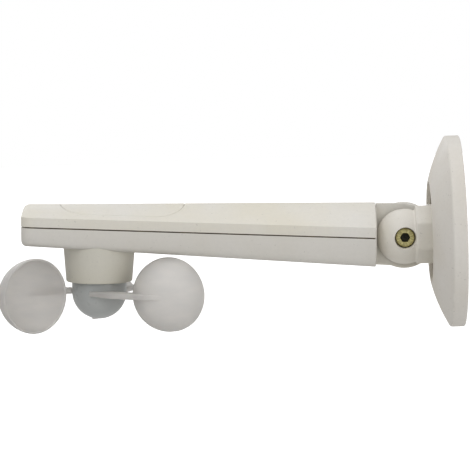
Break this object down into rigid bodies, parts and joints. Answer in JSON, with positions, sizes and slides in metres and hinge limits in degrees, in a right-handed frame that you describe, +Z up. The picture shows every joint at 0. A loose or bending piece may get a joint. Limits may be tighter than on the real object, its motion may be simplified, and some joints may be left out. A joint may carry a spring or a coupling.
{
  "type": "cup anemometer",
  "caption": "Wall-mounted cup anemometer: a wedge-shaped arm on a tilting wall bracket, with a cup rotor that spins under its free end.",
  "frame": {"origin": "centre of the flat back of the wall plate, which lies against the wall", "axes": "+X into the wall, the arm points along -X, +Z up"},
  "size_m": [0.2077, 0.094, 0.086],
  "materials": {
    "shell_plastic": "fine satin moulding, off-white",
    "base_plastic": "satin moulding, warm off-white with light scuffs",
    "socket_plastic": "satin moulding, slightly yellowed",
    "cup_plastic": "frosted translucent",
    "hub_plastic": "smoky grey, half gloss",
    "rubber_seal": "matt dark brown-black",
    "steel": "plain bright",
    "yellow_zinc": "yellow zinc plated",
    "circuit_board": "green solder mask",
    "battery_jacket": "plain printed film",
    "black_plastic": "matt black",
    "inner_plastic": "plain moulding"
  },
  "bodies": {
    "wall_mount": {"wall_plate": "base_plastic", "rosette_cover": "base_plastic"},
    "bracket": {"pivot_bracket": "shell_plastic", "hinge_screw": "yellow_zinc"},
    "arm": {"hinge_nut": "steel", "friction_disc": "rubber_seal", "hinge_block": "shell_plastic", "upper_shell": "shell_plastic", "lower_shell": "shell_plastic", "case_seal": "rubber_seal", "case_screw_1": "steel", "case_screw_2": "steel", "case_screw_3": "steel", "case_screw_4": "steel", "case_screw_5": "steel", "battery_tray": "inner_plastic", "battery_near": "battery_jacket", "battery_far": "battery_jacket", "spring_contact_near": "steel", "spring_contact_far": "steel", "circuit_board": "circuit_board", "radio_module": "steel", "processor": "black_plastic", "rotor_socket": "socket_plastic", "pulse_sensor": "black_plastic", "bearing_upper": "steel", "bearing_lower": "steel"},
    "lid": {"battery_lid": "shell_plastic"},
    "rotor": {"rotor_shaft": "steel", "shaft_clip": "steel", "rotor_hub": "hub_plastic", "ring_magnet": "black_plastic", "cup_1": "cup_plastic", "cup_2": "cup_plastic", "cup_3": "cup_plastic"}
  },
  "joints": [
    {"name": "bracket_swivel", "type": "hinge", "parent": "wall_mount", "child": "bracket", "pos_m": [0, 0, 0], "axis": [1, 0, 0], "range_deg": [-90, 90]},
    {"name": "arm_tilt", "type": "hinge", "parent": "bracket", "child": "arm", "pos_m": [-0.0257, 0, -0.0015], "axis": [0, 1, 0], "range_deg": [-60, 60]},
    {"name": "lid_lift", "type": "slide", "parent": "arm", "child": "lid", "axis": [0.0349, 0, 0.9994], "range_m": [0, 0.02]},
    {"name": "rotor_spin", "type": "hinge", "parent": "arm", "child": "rotor", "pos_m": [-0.16377, 0, -0.02129], "axis": [0.0349, 0, 0.9994], "continuous": true}
  ]
}
